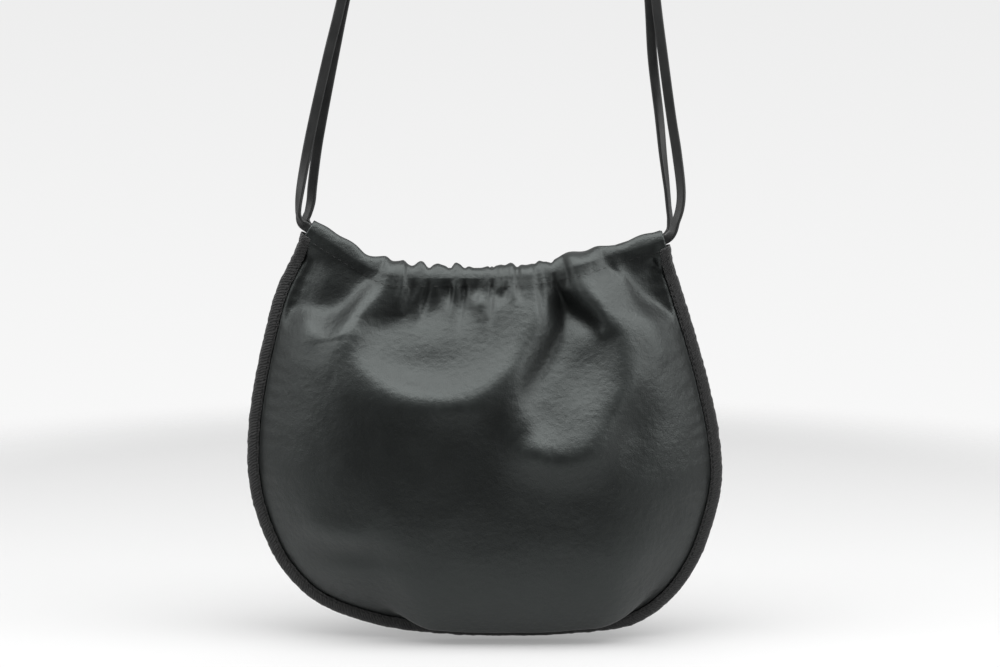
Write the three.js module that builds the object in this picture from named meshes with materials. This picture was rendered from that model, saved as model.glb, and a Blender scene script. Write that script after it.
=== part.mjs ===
// A soft leather drawstring crossbody bag: two panels sewn together at a bound edge, each with its mouth
// edge turned over as a tunnel, and two flat laces that gather the tunnels and run up as one doubled strap.
// Millimetres, +Z up, front towards -Y. The origin is under the top of the strap, where the bag hangs.
import * as THREE from "three";

const { clamp, degToRad, lerp, smoothstep } = THREE.MathUtils;

// Leather, seam and binding
const LEATHER = 1.2; // thickness of a panel
const SEAM_HALF_GAP = 0.2; // from the seam plane to the inner face of a panel
const BINDING_WIDTH = 6.5; // seen from the front
const BINDING_WALL = 1;
const BINDING_CHAMFER = 1.4; // at its outer edge
const BINDING_START = 2.5; // it starts and ends this far under the corners of the mouth
const BINDING_FLARE = { length: 6.5, height: 3.8 }; // it opens there round the parting panels
const CLEARANCE = 0.3; // between pieces that touch
const PANEL_EDGE = BINDING_WALL + 2 * CLEARANCE; // where a panel ends, inside the outline
const FLAT_EDGE = BINDING_WIDTH + 0.5; // the flat sewn margin of a panel ends here
const BODY_EDGE = 12; // the filled part of a panel starts here

// Mouth and tunnel. Pairs change from the middle of the mouth to its corners.
const TUNNEL_HALF_HEIGHT = 5;
const TUNNEL_HALF_DEPTH = { middle: 3.7, corner: 3 };
const TUNNEL_TURNS = [-35, 0, 40, 90, 140, 190, 240]; // degrees round it, from its stitch line to its hem
const TUNNEL_RISE = 6; // from the stitch line up to the tunnel's middle
const MOUTH_DEPTH = { middle: 12, corner: 3.3 }; // from the seam plane to a tunnel's middle
const STITCH_FRONT = { middle: 2.6, corner: 1.2 }; // how far the stitch line stands before that
const MOUTH_PARTING = 5; // height over which the two panels part at the corners
const MOUTH_CLIMBS = [
  // where the stitch line turns up towards each corner, and how softly
  { hand: -1, from: 57, soft: 5 },
  { hand: 1, from: 30, soft: 8 },
];

// Laces
const LACE_WIDTH = 5.4;
const LACE_THICKNESS = 2.3;
const LACE_CHAMFER = 0.7;
const LACE_TURN = 6; // how far inside the ends of its tunnel a lace starts to turn up
const TUNNEL_SPANS = 12; // of a lace in its tunnel
const HANG = { x: 33, z: 776, radius: 16 }; // the strap's top bend: its underside and inner radius
const BEND_TURNS = [5, 35, 65, 90, 115, 145, 172]; // degrees round the top bend
const STRAP_TURNS = [
  // share of the way from the last row of a rise to the top bend, and twist there
  { share: 0.4, twist: 0 },
  { share: 0.75, twist: 60 },
];

// Form of the filled bag
const EDGE_ROUND = 80; // width over which a panel swells from its edge
const EDGE_FULLNESS = 2.5; // how steeply it starts to swell
const SHOULDER = 74; // height over which a panel spreads from the mouth to its full depth
const SHOULDER_FULLNESS = 1.5;
const LEAST_FORM = 0.25; // share of that form that the deepest fold leaves
const FOLD_FADE = 14; // width over which folds fade towards the seam and the stitch line
const PUFF_DEPTH = 0.5; // how far a gather puffs out for each millimetre that it puffs up

// Cells of the solids
const GRID_UP = 15; // rows of a panel from its bottom to its stitch line
const PARTING_ROW = 0.972; // height of one more row, under the parting
const BINDING_STEPS = 60;
const OUTLINE_STEPS = 260; // chords that distances from the outline are measured to
const RINGS_PER_POINT = 2; // of a lace

// The seam's outline from the front, from the left corner of the mouth round to the right one.
const OUTLINE = [
  { x: -101.2, z: 219.5 },
  { x: -104.1, z: 211.3 },
  { x: -114.7, z: 189.3 },
  { x: -121.6, z: 163.9 },
  { x: -127.4, z: 137.3 },
  { x: -131, z: 110.6 },
  { x: -131, z: 85 },
  { x: -126.5, z: 63.5 },
  { x: -114.6, z: 36.5 },
  { x: -95.3, z: 16.1 },
  { x: -61.4, z: 2.5 },
  { x: -22.4, z: -3 },
  { x: 15, z: -4 },
  { x: 45, z: -3 },
  { x: 82.9, z: 2.5 },
  { x: 102.9, z: 16.1 },
  { x: 117.7, z: 36.5 },
  { x: 127.5, z: 63.5 },
  { x: 131.2, z: 85 },
  { x: 129.2, z: 110.6 },
  { x: 123.5, z: 137.3 },
  { x: 116.1, z: 163.9 },
  { x: 108.2, z: 189.3 },
  { x: 103.4, z: 204 },
  { x: 101.8, z: 212.4 },
];

// Swags: leather that hangs in a curve from the gathers. x and z give the lowest point of the rim, curl how
// fast the rim climbs to each side, height how far it stands out, reach and drop how it fades up and down.
const FRONT_SWAGS = [
  { x: -17, z: 134, curlLeft: 0.0095, curlRight: 0.0172, halfWidth: 66, height: 7, reach: 8, drop: 3 },
  { x: -17, z: 135, curlLeft: 0.0095, curlRight: 0.0172, halfWidth: 70, height: 6.5, reach: 42, drop: 5 },
  { x: 40, z: 103.5, curlLeft: 0.019, curlRight: 0.036, halfWidth: 38, height: 10, reach: 24, drop: 3.5 },
];
const BACK_SWAGS = [
  { x: -34, z: 118, curlLeft: 0.012, curlRight: 0.014, halfWidth: 60, height: 5, reach: 30, drop: 6 },
  { x: 38, z: 108, curlLeft: 0.014, curlRight: 0.012, halfWidth: 56, height: 5, reach: 30, drop: 6 },
];

// Folds: straight ridges (height over 0) and valleys (under 0), from their top to their foot.
const FRONT_FOLDS = [
  { topX: -50, topZ: 207, footX: -72, footZ: 166, width: 7, height: 6 }, // left pleat
  { topX: -31, topZ: 194, footX: -70, footZ: 166, width: 5, height: -7 }, // hollow under it
  { topX: -21, topZ: 203, footX: -23, footZ: 178, width: 4, height: -3 },
  { topX: -11, topZ: 203, footX: -10, footZ: 174, width: 4, height: -3 },
  { topX: 4, topZ: 200, footX: 6, footZ: 172, width: 9, height: 2 },
  { topX: 30, topZ: 203, footX: 31, footZ: 172, width: 5, height: 4 }, // rim of the middle swag
  { topX: 38, topZ: 206, footX: 40, footZ: 168, width: 5, height: -8 }, // deep fold beside it
  { topX: 40, topZ: 190, footX: 24, footZ: 126, width: 7, height: -5 },
  { topX: 43, topZ: 194, footX: 72, footZ: 164, width: 4.5, height: -7 }, // hollow under the right pleat
  { topX: 46, topZ: 208, footX: 75, footZ: 168, width: 8, height: 6 }, // right pleat
];
const BACK_FOLDS = [
  { topX: -58, topZ: 202, footX: -74, footZ: 160, width: 7, height: 4 },
  { topX: -44, topZ: 196, footX: -56, footZ: 150, width: 5, height: -4 },
  { topX: -30, topZ: 194, footX: -34, footZ: 150, width: 7, height: 4 },
  { topX: -14, topZ: 192, footX: -15, footZ: 155, width: 5, height: -4 },
  { topX: 2, topZ: 192, footX: 3, footZ: 148, width: 8, height: 4 },
  { topX: 19, topZ: 192, footX: 22, footZ: 155, width: 5, height: -4 },
  { topX: 34, topZ: 196, footX: 41, footZ: 150, width: 7, height: 4 },
  { topX: 48, topZ: 198, footX: 61, footZ: 156, width: 5, height: -4 },
  { topX: 60, topZ: 204, footX: 76, footZ: 162, width: 7, height: 4 },
];

// Dents: round hollows, with their reach across and up.
const FRONT_DENTS = [
  { x: -83, z: 193, across: 15, up: 11, depth: 6 }, // under the left corner of the mouth
  { x: 88, z: 195, across: 13, up: 11, depth: 6 }, // under the right one
  { x: -68, z: 41, across: 24, up: 8, depth: 3 },
];
const BACK_DENTS = [
  { x: -86, z: 193, across: 14, up: 11, depth: 5 },
  { x: 87, z: 193, across: 14, up: 11, depth: 5 },
];

// Gathers: where the tunnel bunches up on its lace, and how far it puffs up there.
const FRONT_GATHERS = [
  { x: -55, width: 6, puff: 2.4 },
  { x: -44, width: 4, puff: 1.6 },
  { x: -36, width: 4, puff: 2 },
  { x: -26, width: 4, puff: 1.2 },
  { x: -15, width: 4, puff: 1 },
  { x: 2, width: 6, puff: 0.8 },
  { x: 18, width: 5, puff: 0.9 },
  { x: 31, width: 4, puff: 1.8 },
  { x: 49, width: 7, puff: 2.6 },
  { x: 64, width: 5, puff: 1.6 },
];
const BACK_GATHERS = [-58, -44, -30, -14, 2, 19, 34, 48, 60].map((x) => ({ x, width: 5, puff: 1.6 }));

// How each lace climbs from its tunnel's end: x, z, depth y, and twist in degrees from flat to the front.
const FRONT_RISE_LEFT = [
  { x: -97.4, z: 224.2, y: -3.4, twist: 0 },
  { x: -100.3, z: 226.6, y: -3.8, twist: 40 },
  { x: -101.6, z: 230.6, y: -4.2, twist: 70 },
  { x: -101.6, z: 236, y: -4.2, twist: 60 },
  { x: -100.6, z: 244, y: -4, twist: 40 },
  { x: -96.6, z: 266, y: -3, twist: 10 },
  { x: -93, z: 283, y: -2.6, twist: 4 },
  { x: -85.3, z: 316, y: -2.1, twist: 0 },
  { x: -77, z: 349, y: -1.8, twist: 0 },
];
const FRONT_RISE_RIGHT = [
  { x: 99.3, z: 217.8, y: -3.4, twist: 0 },
  { x: 102.3, z: 221.2, y: -3.8, twist: -35 },
  { x: 104.2, z: 227, y: -4.2, twist: -50 },
  { x: 106.2, z: 233.5, y: -4.2, twist: -45 },
  { x: 107, z: 242, y: -4, twist: -40 },
  { x: 104.6, z: 264, y: -3, twist: -20 },
  { x: 101.5, z: 283, y: -2.6, twist: -10 },
  { x: 96.8, z: 316, y: -2.1, twist: 0 },
  { x: 92.4, z: 349, y: -1.8, twist: 0 },
];
const BACK_RISE_LEFT = [
  { x: -97, z: 223.8, y: 3.4, twist: 0 },
  { x: -98.4, z: 227.4, y: 3.8, twist: 45 },
  { x: -96.8, z: 232, y: 4.2, twist: 45 },
  { x: -95.4, z: 238, y: 4.2, twist: 25 },
  { x: -94.6, z: 246, y: 4, twist: 15 },
  { x: -91.9, z: 266, y: 3.4, twist: 10 },
  { x: -88.8, z: 283, y: 2.8, twist: 8 },
  { x: -82.2, z: 316, y: 2.1, twist: 0 },
  { x: -75.4, z: 349, y: 1.8, twist: 0 },
];
const BACK_RISE_RIGHT = [
  { x: 99.2, z: 217.8, y: 3.4, twist: 0 },
  { x: 101.6, z: 221.8, y: 3.8, twist: 45 },
  { x: 101.6, z: 228, y: 4.4, twist: 65 },
  { x: 100.8, z: 235, y: 4.8, twist: 68 },
  { x: 99.9, z: 244, y: 4.8, twist: 65 },
  { x: 97.4, z: 264, y: 4.4, twist: 45 },
  { x: 95.4, z: 283, y: 3.8, twist: 30 },
  { x: 91.3, z: 316, y: 2.6, twist: 10 },
  { x: 89.1, z: 349, y: 1.8, twist: 0 },
];

const FRONT = {
  facing: -1,
  depth: 31,
  mouthLow: 191.8, // height of the stitch line in the middle
  mouthSlopes: [0.63, 0.283], // how steeply it climbs to the left and to the right corner
  gridAcross: 38,
  swags: FRONT_SWAGS,
  folds: FRONT_FOLDS,
  dents: FRONT_DENTS,
  gathers: FRONT_GATHERS,
};
const BACK = {
  facing: 1,
  depth: 27,
  mouthLow: 188.5,
  mouthSlopes: [0.7, 0.33],
  gridAcross: 26,
  swags: BACK_SWAGS,
  folds: BACK_FOLDS,
  dents: BACK_DENTS,
  gathers: BACK_GATHERS,
};

// The seam, run from the left corner down, along the bottom and up to the right corner.
const seamCurve = new THREE.CatmullRomCurve3(
  OUTLINE.map(({ x, z }) => new THREE.Vector3(x, 0, z)),
  false,
  "centripetal",
);
const seamLength = seamCurve.getLength();

// A point of the seam's plane, inset from the outline at a share of its length.
function insetPoint(share, inset) {
  const point = seamCurve.getPointAt(share);
  const along = seamCurve.getTangentAt(share);
  return { x: point.x - along.z * inset, z: point.z + along.x * inset };
}

// How far a point lies inside the outline.
const outlineSamples = seamCurve.getSpacedPoints(OUTLINE_STEPS);
function insetOf(x, z) {
  const point = new THREE.Vector3(x, 0, z);
  const nearest = new THREE.Vector3();
  const span = new THREE.Line3();
  let least = Infinity;
  for (let i = 1; i < outlineSamples.length; i += 1) {
    span.set(outlineSamples[i - 1], outlineSamples[i]);
    span.closestPointToPoint(point, true, nearest);
    least = Math.min(least, nearest.distanceTo(point));
  }
  return least;
}

// The line that a panel's tunnel is sewn along: level in the middle, climbing to both corners.
function stitchHeight(side, x) {
  let height = side.mouthLow;
  MOUTH_CLIMBS.forEach(({ hand, from, soft }, k) => {
    height += side.mouthSlopes[k] * soft * Math.log1p(Math.exp((hand * x - from) / soft));
  });
  return height;
}

const MOUTH_LEFT = insetPoint(0, PANEL_EDGE);
const MOUTH_RIGHT = insetPoint(1, PANEL_EDGE);

// A value of the mouth that changes from its middle to its corners.
function toCorner(pair, x) {
  const corner = x < 0 ? MOUTH_LEFT : MOUTH_RIGHT;
  return lerp(pair.middle, pair.corner, (x / corner.x) ** 2);
}

// A point square to the stitch line, at a rise over it.
function overStitches(side, x, rise) {
  const slope = stitchHeight(side, x + 0.5) - stitchHeight(side, x - 0.5);
  const square = rise / Math.hypot(1, slope);
  return { x: x - slope * square, z: stitchHeight(side, x) + square };
}

// Where an inset line meets the stitch line, as a share of the seam: near its start (0) or its end (1).
const SEARCH_SHARE = 0.05; // of the seam that is searched
const SEARCH_HALVINGS = 40;
function shareAtMouth(side, inset, end) {
  let over = end;
  let under = end === 0 ? SEARCH_SHARE : 1 - SEARCH_SHARE;
  for (let i = 0; i < SEARCH_HALVINGS; i += 1) {
    const middle = (over + under) / 2;
    const { x, z } = insetPoint(middle, inset);
    if (z > stitchHeight(side, x)) {
      over = middle;
    } else {
      under = middle;
    }
  }
  return over;
}

// How far a swag pushes the leather out at a point: slow above its rim, fast below it.
function swagLift(swag, x, z) {
  const aside = x - swag.x;
  const curl = aside < 0 ? swag.curlLeft : swag.curlRight;
  const above = z - swag.z - curl * aside * aside;
  const crest = (drop) => 1 / (Math.exp(drop / swag.reach) + Math.exp(-drop / swag.drop));
  const peak = (Math.log(swag.reach / swag.drop) * swag.reach * swag.drop) / (swag.reach + swag.drop);
  const spread = 1 - smoothstep(Math.abs(aside) / swag.halfWidth, 0.55, 1);
  return (swag.height * spread * crest(above)) / crest(peak);
}

// How far a fold pushes the leather out or in: round across, fading towards its foot.
function foldLift(fold, x, z) {
  const top = new THREE.Vector2(fold.topX, fold.topZ);
  const run = new THREE.Vector2(fold.footX, fold.footZ).sub(top);
  const offset = new THREE.Vector2(x, z).sub(top);
  const along = clamp(offset.dot(run) / run.lengthSq(), 0, 1);
  const aside = offset.addScaledVector(run, -along).length() / fold.width;
  return fold.height * Math.exp(-aside * aside) * (1 - smoothstep(along, 0.5, 1));
}

function dentLift(dent, x, z) {
  const reach = ((x - dent.x) / dent.across) ** 2 + ((z - dent.z) / dent.up) ** 2;
  return -dent.depth * Math.exp(-reach);
}

// Distance of a panel's outer face from the seam plane.
function panelDepth(side, x, z) {
  const inset = insetOf(x, z);
  const flat = SEAM_HALF_GAP + LEATHER;
  const swell = 1 - (1 - clamp((inset - FLAT_EDGE) / EDGE_ROUND, 0, 1)) ** EDGE_FULLNESS;
  const under = Math.max(stitchHeight(side, x) - z, 0);
  const spread = 1 - (1 - clamp(under / SHOULDER, 0, 1)) ** SHOULDER_FULLNESS;
  const apart = Math.max(smoothstep(inset, FLAT_EDGE, BODY_EDGE), 1 - smoothstep(under, 0, MOUTH_PARTING));
  const mouth = (toCorner(MOUTH_DEPTH, x) + toCorner(STITCH_FRONT, x) - flat) * apart;
  const form = lerp(mouth, side.depth * swell, spread);
  const total = (rows, lift) => rows.reduce((sum, row) => sum + lift(row, x, z), 0);
  const relief = total(side.swags, swagLift) + total(side.folds, foldLift) + total(side.dents, dentLift);
  const loose = smoothstep(inset, BODY_EDGE, BODY_EDGE + FOLD_FADE) * smoothstep(under, 0, FOLD_FADE);
  return flat + Math.max(form + relief * loose, LEAST_FORM * form);
}

// A sheet of leather as one closed solid: cells of four corners, each corner an outer and an inner point.
// Edges with a cell on one side only are closed by a strip.
function leatherSolid(corners, cells) {
  const triangles = [];
  const edges = new Map();
  const inner = (index) => index + corners.length;
  for (const [a, b, c, d] of cells) {
    triangles.push(a, b, c, a, c, d);
    triangles.push(inner(a), inner(c), inner(b), inner(a), inner(d), inner(c));
    for (const [from, to] of [[a, b], [b, c], [c, d], [d, a]]) {
      if (!edges.delete(`${to} ${from}`)) {
        edges.set(`${from} ${to}`, [from, to]);
      }
    }
  }
  for (const [from, to] of edges.values()) {
    triangles.push(to, from, inner(from), to, inner(from), inner(to));
  }
  const points = [...corners.map((corner) => corner.outer), ...corners.map((corner) => corner.inner)];
  return indexedGeometry(points, triangles);
}

function indexedGeometry(points, triangles) {
  const geometry = new THREE.BufferGeometry();
  geometry.setFromPoints(points);
  geometry.setIndex(triangles);
  geometry.computeVertexNormals();
  return geometry;
}

// The body of a panel in the seam's plane: a patch between the two sides, the bottom and the stitch line.
const LEFT_SHARE = 0.345; // where the left side of the seam turns into its bottom
const RIGHT_SHARE = 0.655;

function panelPlan(side, across, up) {
  const leftEnd = shareAtMouth(side, BODY_EDGE, 0);
  const rightEnd = shareAtMouth(side, BODY_EDGE, 1);
  const left = insetPoint(lerp(LEFT_SHARE, leftEnd, up), BODY_EDGE);
  const right = insetPoint(lerp(RIGHT_SHARE, rightEnd, up), BODY_EDGE);
  const bottom = insetPoint(lerp(LEFT_SHARE, RIGHT_SHARE, across), BODY_EDGE);
  const lowLeft = insetPoint(LEFT_SHARE, BODY_EDGE);
  const lowRight = insetPoint(RIGHT_SHARE, BODY_EDGE);
  const highLeft = insetPoint(leftEnd, BODY_EDGE);
  const highRight = insetPoint(rightEnd, BODY_EDGE);
  const mouthX = lerp(highLeft.x, highRight.x, across);
  const mouth = { x: mouthX, z: stitchHeight(side, mouthX) };
  const blend = (axis) => {
    const sides = lerp(left[axis], right[axis], across) + lerp(bottom[axis], mouth[axis], up);
    const low = lerp(lowLeft[axis], lowRight[axis], across);
    return sides - lerp(low, lerp(highLeft[axis], highRight[axis], across), up);
  };
  return { x: blend("x"), z: blend("z") };
}

// Places of a panel's margin at an inset: down its left side, along the bottom and up its right side.
function marginPlan(side, inset, ups) {
  const shares = [
    ...ups.toReversed().map((up) => lerp(LEFT_SHARE, shareAtMouth(side, inset, 0), up)),
    ...range(1, side.gridAcross - 1).map((i) => lerp(LEFT_SHARE, RIGHT_SHARE, i / side.gridAcross)),
    ...ups.map((up) => lerp(RIGHT_SHARE, shareAtMouth(side, inset, 1), up)),
  ];
  return shares.map((share) => insetPoint(share, inset));
}

function range(from, to) {
  return Array.from({ length: to - from + 1 }, (_, i) => from + i);
}

// One panel: its body, the flat margin along the seam, and the mouth edge turned over as a tunnel.
function panel(side) {
  const corners = [];
  const cells = [];
  const addCell = (...cell) => cells.push(side.facing < 0 ? cell : cell.toReversed());
  const addCorner = (outer, inner) => corners.push({ outer, inner }) - 1;
  const onForm = ({ x, z }) => {
    const depth = panelDepth(side, x, z);
    const outer = new THREE.Vector3(x, side.facing * depth, z);
    return addCorner(outer, new THREE.Vector3(x, side.facing * (depth - LEATHER), z));
  };

  const ups = [...range(0, GRID_UP).map((j) => j / GRID_UP), PARTING_ROW].sort((a, b) => a - b);
  const rows = ups.map((up) =>
    range(0, side.gridAcross).map((i) => onForm(panelPlan(side, i / side.gridAcross, up))),
  );
  const rim = [
    ...rows.toReversed().map((row) => row[0]),
    ...rows[0].slice(1, -1),
    ...rows.map((row) => row.at(-1)),
  ];
  const flatLine = marginPlan(side, FLAT_EDGE, ups).map(onForm);
  const edgeLine = marginPlan(side, PANEL_EDGE, ups).map(onForm);
  for (let k = 1; k < rim.length; k += 1) {
    addCell(flatLine[k - 1], flatLine[k], rim[k], rim[k - 1]);
    addCell(edgeLine[k - 1], edgeLine[k], flatLine[k], flatLine[k - 1]);
  }
  for (let j = 1; j < rows.length; j += 1) {
    for (let i = 1; i < rows[j].length; i += 1) {
      addCell(rows[j - 1][i - 1], rows[j - 1][i], rows[j][i], rows[j][i - 1]);
    }
  }

  const stitches = [edgeLine[0], flatLine[0], ...rows.at(-1), flatLine.at(-1), edgeLine.at(-1)];
  const tunnel = [stitches];
  for (const turn of TUNNEL_TURNS) {
    tunnel.push(stitches.map((index) => addCorner(...tunnelWall(side, corners[index].outer.x, turn))));
  }
  const hem = stitches.map((index) => {
    const inner = corners[index].inner.clone();
    inner.y -= side.facing * CLEARANCE;
    const outer = inner.clone();
    outer.y -= side.facing * LEATHER;
    return addCorner(outer, inner);
  });
  tunnel.push(hem);
  for (let j = 1; j < tunnel.length; j += 1) {
    for (let i = 1; i < stitches.length; i += 1) {
      addCell(tunnel[j - 1][i - 1], tunnel[j - 1][i], tunnel[j][i], tunnel[j][i - 1]);
    }
  }
  return leatherSolid(corners, cells);
}

// The outer and the inner point of a tunnel's wall over a place of the stitch line, at a turn in degrees.
function tunnelWall(side, x, turn) {
  const angle = degToRad(turn);
  const puff = side.gathers.reduce(
    (sum, row) => sum + row.puff * Math.exp(-(((x - row.x) / row.width) ** 2)),
    0,
  );
  return [0, LEATHER].map((wall) => {
    const high = TUNNEL_HALF_HEIGHT + (turn > 0 && turn < 180 ? puff : 0) - wall;
    const deep = toCorner(TUNNEL_HALF_DEPTH, x) + PUFF_DEPTH * puff - wall;
    const depth = toCorner(MOUTH_DEPTH, x) + deep * Math.cos(angle);
    const plan = overStitches(side, x, TUNNEL_RISE + high * Math.sin(angle));
    return new THREE.Vector3(plan.x, side.facing * depth, plan.z);
  });
}

// A closed section carried through a list of rings, open with flat ends or joined into a loop.
function sweep(rings, section, looped) {
  const points = rings.flat();
  const count = section.length;
  const triangles = [];
  const lastRing = looped ? rings.length : rings.length - 1;
  for (let r = 0; r < lastRing; r += 1) {
    const here = r * count;
    const next = ((r + 1) % rings.length) * count;
    for (let k = 0; k < count; k += 1) {
      const turn = (k + 1) % count;
      triangles.push(here + k, here + turn, next + turn, here + k, next + turn, next + k);
    }
  }
  if (!looped) {
    const end = (rings.length - 1) * count;
    for (const [a, b, c] of THREE.ShapeUtils.triangulateShape(section, [])) {
      triangles.push(a, b, c, end + c, end + b, end + a);
    }
  }
  return indexedGeometry(points, triangles);
}

// The binding: a tape folded over both panels' edges. Its section is inset from the outline, and depth.
function binding() {
  const slot = SEAM_HALF_GAP + LEATHER + CLEARANCE;
  const half = slot + BINDING_WALL;
  const section = [
    new THREE.Vector2(BINDING_CHAMFER, -half),
    new THREE.Vector2(0, -0.5 * half),
    new THREE.Vector2(0, 0.5 * half),
    new THREE.Vector2(BINDING_CHAMFER, half),
    new THREE.Vector2(BINDING_WIDTH, half),
    new THREE.Vector2(BINDING_WIDTH, slot),
    new THREE.Vector2(BINDING_WALL, slot),
    new THREE.Vector2(BINDING_WALL, -slot),
    new THREE.Vector2(BINDING_WIDTH, -slot),
    new THREE.Vector2(BINDING_WIDTH, -half),
  ];
  const flareEnd = BINDING_START + BINDING_FLARE.length;
  const between = (share) => lerp(flareEnd, seamLength - flareEnd, share);
  const middles = range(0, BINDING_STEPS).map((i) => between(i / BINDING_STEPS));
  const rings = [BINDING_START, ...middles, seamLength - BINDING_START].map((along) => {
    const fromEnd = Math.min(along, seamLength - along);
    const flare = BINDING_FLARE.height * (1 - clamp((fromEnd - BINDING_START) / BINDING_FLARE.length, 0, 1));
    return section.map((corner) => {
      const plan = insetPoint(along / seamLength, corner.x);
      return new THREE.Vector3(plan.x, corner.y + Math.sign(corner.y) * flare, plan.z);
    });
  });
  return sweep(rings, section, false);
}

// The middle line of a lace: through its tunnel, up the right side, round the top bend, down the left side.
function laceRoute(side, riseLeft, riseRight) {
  const inTunnel = range(0, TUNNEL_SPANS).map((i) => {
    const x = lerp(MOUTH_LEFT.x + LACE_TURN, MOUTH_RIGHT.x - LACE_TURN, i / TUNNEL_SPANS);
    return { ...overStitches(side, x, TUNNEL_RISE), y: side.facing * toCorner(MOUTH_DEPTH, x), twist: 0 };
  });
  const top = HANG.z - HANG.radius;
  const bend = HANG.radius + LACE_THICKNESS / 2;
  const beside = side.facing * (LACE_WIDTH / 2 + 2 * CLEARANCE);
  const toBend = (rise, hand) => {
    const last = rise.at(-1);
    return STRAP_TURNS.map(({ share, twist }) => {
      const x = lerp(last.x, HANG.x + hand * bend, share);
      return { x, y: beside, z: lerp(last.z, top, share), twist };
    });
  };
  const overTop = BEND_TURNS.map((turn) => {
    const angle = degToRad(turn);
    const x = HANG.x + bend * Math.cos(angle);
    return { x, y: beside, z: top + bend * Math.sin(angle), twist: 90 };
  });
  const right = [...riseRight, ...toBend(riseRight, 1)];
  const left = [...riseLeft, ...toBend(riseLeft, -1)];
  return [...inTunnel, ...right, ...overTop, ...left.toReversed()];
}

// One lace: a flat strip with chamfered edges, closed into a loop.
function lace(side, riseLeft, riseRight) {
  const route = laceRoute(side, riseLeft, riseRight);
  const middle = new THREE.CatmullRomCurve3(route.map(({ x, y, z }) => new THREE.Vector3(x, y, z)), true);
  const halfWidth = LACE_WIDTH / 2;
  const halfThickness = LACE_THICKNESS / 2;
  const section = [
    new THREE.Vector2(halfWidth, -halfThickness + LACE_CHAMFER),
    new THREE.Vector2(halfWidth, halfThickness - LACE_CHAMFER),
    new THREE.Vector2(halfWidth - LACE_CHAMFER, halfThickness),
    new THREE.Vector2(-halfWidth + LACE_CHAMFER, halfThickness),
    new THREE.Vector2(-halfWidth, halfThickness - LACE_CHAMFER),
    new THREE.Vector2(-halfWidth, -halfThickness + LACE_CHAMFER),
    new THREE.Vector2(-halfWidth + LACE_CHAMFER, -halfThickness),
    new THREE.Vector2(halfWidth - LACE_CHAMFER, -halfThickness),
  ];
  const steps = route.length * RINGS_PER_POINT;
  const rings = range(0, steps - 1).map((i) => {
    const from = route[Math.floor(i / RINGS_PER_POINT)];
    const to = route[(Math.floor(i / RINGS_PER_POINT) + 1) % route.length];
    const twist = degToRad(lerp(from.twist, to.twist, (i % RINGS_PER_POINT) / RINGS_PER_POINT));
    const point = middle.getPoint(i / steps);
    const along = middle.getTangent(i / steps);
    const wide = new THREE.Vector3().crossVectors(new THREE.Vector3(0, 1, 0), along).normalize();
    wide.applyAxisAngle(along, twist);
    const thick = new THREE.Vector3().crossVectors(along, wide);
    return section.map(({ x, y }) => point.clone().addScaledVector(wide, x).addScaledVector(thick, y));
  });
  return sweep(rings, section, true);
}

function piece(name, geometry, material) {
  const mesh = new THREE.Mesh(geometry, material);
  mesh.name = name;
  return mesh;
}

const leather = new THREE.MeshStandardMaterial({ color: 0x2b2d2d, roughness: 0.45, metalness: 0 });
const tape = new THREE.MeshStandardMaterial({ color: 0x202121, roughness: 0.85, metalness: 0 });
const strapLeather = new THREE.MeshStandardMaterial({ color: 0x272828, roughness: 0.5, metalness: 0 });

const bag = new THREE.Group();
bag.position.set(-HANG.x, 0, -HANG.z);
bag.add(piece("front_panel", panel(FRONT), leather));
bag.add(piece("back_panel", panel(BACK), leather));
bag.add(piece("edge_binding", binding(), tape));
bag.add(piece("front_lace", lace(FRONT, FRONT_RISE_LEFT, FRONT_RISE_RIGHT), strapLeather));
bag.add(piece("back_lace", lace(BACK, BACK_RISE_LEFT, BACK_RISE_RIGHT), strapLeather));

const model = new THREE.Group();
model.add(bag);

export default model;
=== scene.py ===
import math

import bpy
import numpy as np
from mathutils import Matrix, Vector, kdtree, noise


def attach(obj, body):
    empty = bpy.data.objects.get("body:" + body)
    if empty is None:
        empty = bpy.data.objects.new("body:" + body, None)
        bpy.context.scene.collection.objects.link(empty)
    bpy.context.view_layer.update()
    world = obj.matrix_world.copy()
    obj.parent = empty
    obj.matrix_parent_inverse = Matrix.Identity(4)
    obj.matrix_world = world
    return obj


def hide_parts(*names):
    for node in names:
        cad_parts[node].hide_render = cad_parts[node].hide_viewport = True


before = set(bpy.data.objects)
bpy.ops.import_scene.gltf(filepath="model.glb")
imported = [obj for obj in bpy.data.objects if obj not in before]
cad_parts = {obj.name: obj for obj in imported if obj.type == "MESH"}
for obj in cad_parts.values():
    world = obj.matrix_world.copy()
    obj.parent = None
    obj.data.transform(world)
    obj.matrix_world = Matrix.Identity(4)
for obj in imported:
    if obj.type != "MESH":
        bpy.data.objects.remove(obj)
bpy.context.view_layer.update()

# Studio: a pale seamless floor under a broad overhead softbox, with weaker light from both sides and
# little from the front. The camera stands level with the bag and looks very slightly down on it.
MM = 0.001
BAG_MIDDLE = -33 * MM  # x of the bag's middle in the frame
BAG_FOOT = -776 * MM  # z that heights are measured from, just over the seam's lowest point
PIXEL = 0.55 * MM  # size of a pixel of the picture in the seam's plane
PICTURE_WIDTH, PICTURE_HEIGHT = 1000, 667
MIDDLE_PIXEL, FOOT_PIXEL = 485, 634  # where the bag's middle and foot stand in the picture
CAMERA_TILT = math.radians(6)
LENS, SENSOR = 85, 36

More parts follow.
